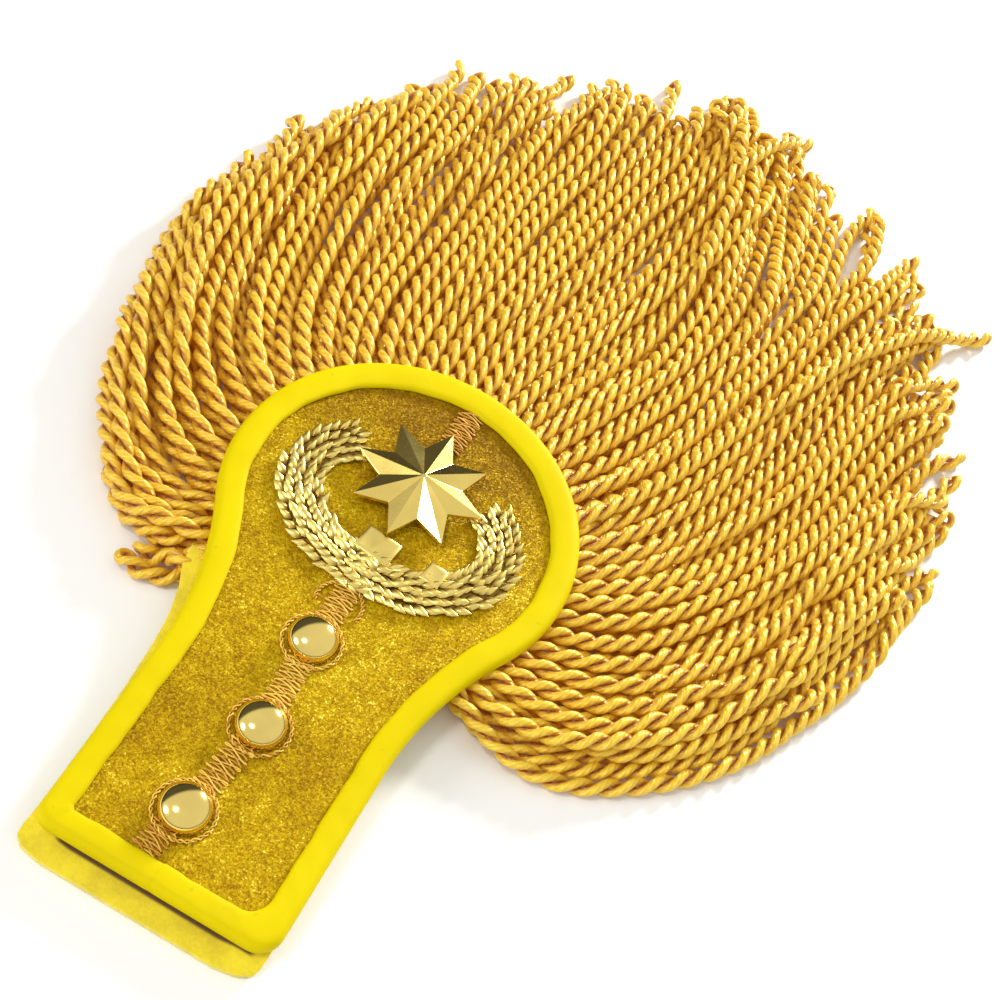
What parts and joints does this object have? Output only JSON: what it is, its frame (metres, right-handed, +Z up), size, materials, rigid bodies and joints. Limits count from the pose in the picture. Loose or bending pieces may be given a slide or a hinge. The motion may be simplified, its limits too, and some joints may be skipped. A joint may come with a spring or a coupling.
{
  "type": "epaulette",
  "caption": "Dress epaulette lying flat: a keyhole-shaped glitter board with ribbon edge, star, laurel wreath, studs and braid, a long corded fringe round its head, and a felt sleeve below.",
  "frame": {"origin": "middle of the felt sleeve's flat underside, on the surface that the epaulette lies on", "axes": "+Z up, out of the covered face; +Y from the strap's end towards the head and its fringe; +X to the right of that"},
  "size_m": [0.2548, 0.3879, 0.0253],
  "materials": {
    "glitter_cloth": "coarse golden glitter on cloth",
    "ribbon": "smooth satin ribbon, bright yellow",
    "felt": "matt pressed felt, yellow",
    "cord": "shiny two-ply twisted rayon cord, golden",
    "bullion": "pressed pale gold leaf relief",
    "gilt": "polished gilt metal",
    "gimp": "gold gimp braid with copper edges"
  },
  "bodies": {
    "root": {"board": "glitter_cloth", "binding": "ribbon", "sleeve": "felt", "fringe": "cord", "wreath": "bullion", "star": "gilt", "stud_1": "gilt", "stud_2": "gilt", "stud_3": "gilt", "braid": "gimp", "top_braid": "gimp"}
  },
  "joints": []
}
